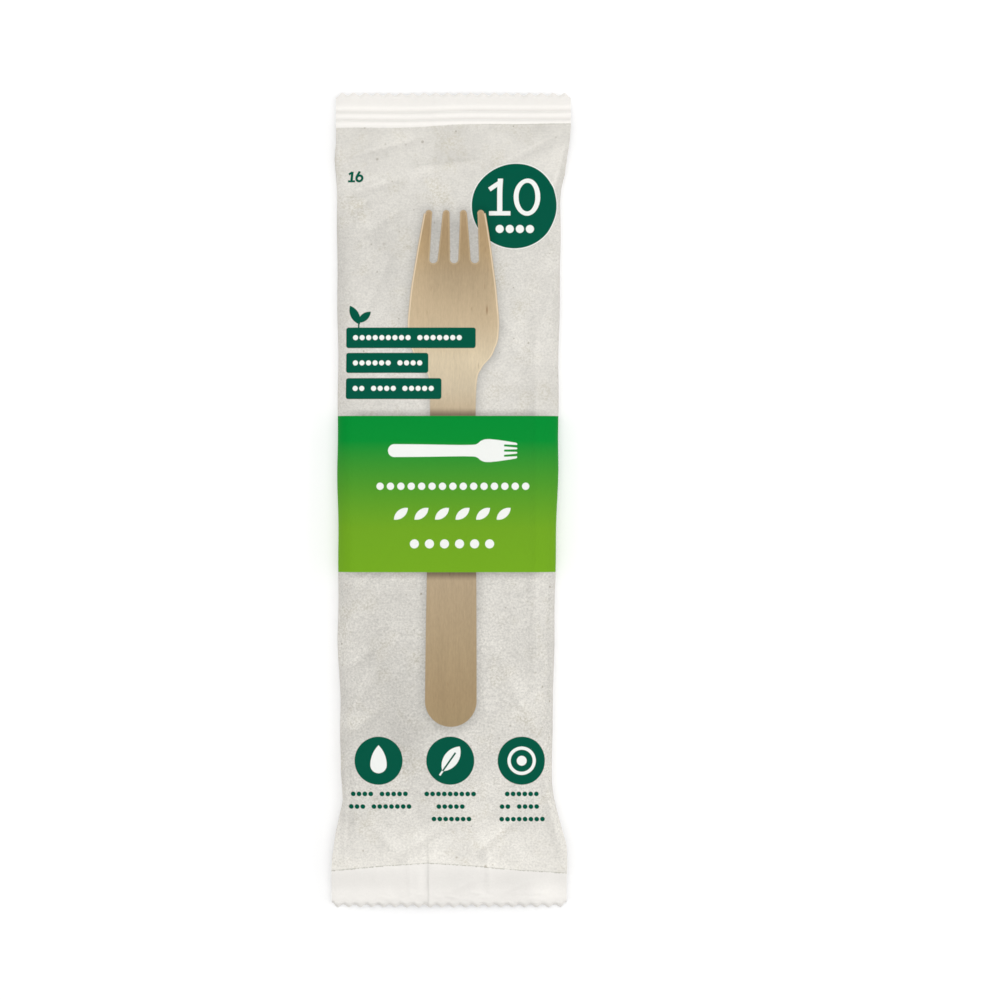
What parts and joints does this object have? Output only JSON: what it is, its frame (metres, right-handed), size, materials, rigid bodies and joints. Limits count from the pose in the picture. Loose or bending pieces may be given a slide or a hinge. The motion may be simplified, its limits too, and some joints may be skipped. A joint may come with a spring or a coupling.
{
  "type": "pack of wooden forks",
  "caption": "Sealed flat paper pack of disposable wooden forks, crimped with toothed edges at both ends, with a printed green band and a plain fork figure.",
  "frame": {"origin": "middle of the pack's box, on the surface that its back seam lies on", "axes": "+Y along the pack to the end that the fork figure's tines point to, +X to the right of the printed side, +Z out of the printed side"},
  "size_m": [0.0562, 0.19, 0.009],
  "materials": {
    "printed_paper": "satin matte kraft-type paper, pale grey-beige print with a green band"
  },
  "bodies": {
    "root": {"sealed_pack": "printed_paper"}
  },
  "joints": []
}
